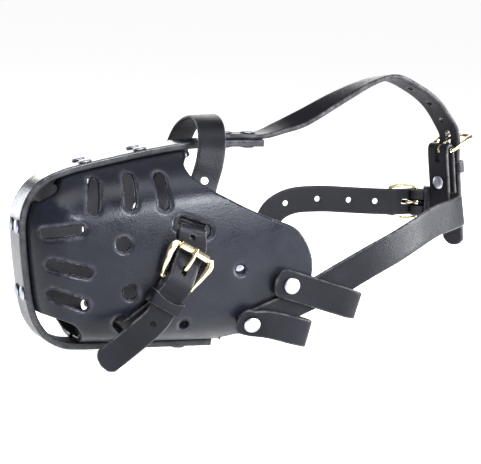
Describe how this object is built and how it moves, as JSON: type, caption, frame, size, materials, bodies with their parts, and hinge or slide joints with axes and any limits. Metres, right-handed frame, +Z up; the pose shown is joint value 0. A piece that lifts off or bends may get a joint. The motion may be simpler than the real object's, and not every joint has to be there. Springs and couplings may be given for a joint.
{
  "type": "basket muzzle",
  "caption": "Leather basket muzzle for a large dog: slotted moulded sides on a bent centre strip, with riveted loops and buckled nose, neck and head straps.",
  "frame": {"origin": "middle of the flat under face of the centre strip's chin run", "axes": "+X from the nose to the neck, +Y to the dog's right, +Z up"},
  "size_m": [0.3626, 0.1283, 0.2042],
  "materials": {
    "panel_leather": "moulded black leather, satin, slightly blue sheen",
    "strip_leather": "smooth black leather, semi-gloss",
    "strap_leather": "black strap leather with fine grain and dark burnished edges",
    "buckle_brass": "polished pale brass plate",
    "rivet_nickel": "polished nickel"
  },
  "bodies": {
    "basket": {"centre_strip": "strip_leather", "side_panel_left": "panel_leather", "side_panel_right": "panel_leather", "loop_upper_left": "strap_leather", "loop_upper_right": "strap_leather", "loop_lower_left": "strap_leather", "loop_lower_right": "strap_leather", "nose_strap": "strap_leather", "collar_strap": "strap_leather", "collar_tongue": "strap_leather", "connector": "strap_leather", "crown_strap": "strap_leather", "rivet_top_1_left": "rivet_nickel", "rivet_top_1_right": "rivet_nickel", "rivet_top_2_left": "rivet_nickel", "rivet_top_2_right": "rivet_nickel", "rivet_front_1_left": "rivet_nickel", "rivet_front_1_right": "rivet_nickel", "rivet_front_2_left": "rivet_nickel", "rivet_front_2_right": "rivet_nickel", "rivet_chin_1_left": "rivet_nickel", "rivet_chin_1_right": "rivet_nickel", "rivet_chin_2_left": "rivet_nickel", "rivet_chin_2_right": "rivet_nickel", "rivet_loop_upper_left": "rivet_nickel", "rivet_loop_upper_right": "rivet_nickel", "rivet_loop_lower_left": "rivet_nickel", "rivet_loop_lower_right": "rivet_nickel", "rivet_forehead_1": "rivet_nickel", "rivet_forehead_2": "rivet_nickel", "rivet_connector": "rivet_nickel"},
    "nose_frame": {"nose_buckle_frame": "buckle_brass"},
    "nose_prong": {"nose_buckle_prong": "buckle_brass"},
    "nose_roller": {"nose_buckle_roller": "buckle_brass"},
    "nose_keeper": {"nose_keeper": "strap_leather"},
    "collar_frame": {"collar_buckle_frame": "buckle_brass"},
    "collar_prong": {"collar_buckle_prong": "buckle_brass"},
    "collar_keeper": {"collar_keeper": "strap_leather"},
    "crown_frame": {"crown_buckle_frame": "buckle_brass"},
    "crown_prong": {"crown_buckle_prong": "buckle_brass"},
    "crown_keeper": {"crown_keeper": "strap_leather"}
  },
  "joints": [
    {"name": "nose_frame_tip", "type": "hinge", "parent": "basket", "child": "nose_frame", "pos_m": [0.01073, -0.05687, 0.0532], "axis": [0.874, 0, -0.486], "range_deg": [0, 6]},
    {"name": "nose_prong_lift", "type": "hinge", "parent": "nose_frame", "child": "nose_prong", "pos_m": [0.01073, -0.05687, 0.0532], "axis": [0.874, 0, -0.486], "range_deg": [0, 8]},
    {"name": "collar_frame_tip", "type": "hinge", "parent": "basket", "child": "collar_frame", "pos_m": [0.2365, 0.0355, 0.097], "axis": [0, 0, -1], "range_deg": [0, 6]},
    {"name": "collar_prong_lift", "type": "hinge", "parent": "collar_frame", "child": "collar_prong", "pos_m": [0.2365, 0.0355, 0.097], "axis": [0, 0, -1], "range_deg": [0, 8]},
    {"name": "crown_frame_tip", "type": "hinge", "parent": "basket", "child": "crown_frame", "pos_m": [0.24479, 0.01429, 0.13987], "axis": [0.361, -0.9326, 0], "range_deg": [-6, 6]},
    {"name": "crown_prong_lift", "type": "hinge", "parent": "crown_frame", "child": "crown_prong", "pos_m": [0.24479, 0.01429, 0.13987], "axis": [0.361, -0.9326, 0], "range_deg": [0, 8]},
    {"name": "nose_roller_spin", "type": "hinge", "parent": "nose_frame", "child": "nose_roller", "pos_m": [0.02286, -0.05799, 0.07503], "axis": [0.874, 0, -0.486], "continuous": true},
    {"name": "nose_keeper_slide", "type": "slide", "parent": "basket", "child": "nose_keeper", "axis": [0.4855, -0.0449, 0.8731], "range_m": [-0.0008, 0.0008]},
    {"name": "collar_keeper_slide", "type": "slide", "parent": "basket", "child": "collar_keeper", "axis": [-0.9292, 0.3697, 0], "range_m": [0, 0.001]},
    {"name": "crown_keeper_slide", "type": "slide", "parent": "basket", "child": "crown_keeper", "axis": [-0.1298, -0.0502, 0.9903], "range_m": [-0.0012, 0.002]}
  ]
}
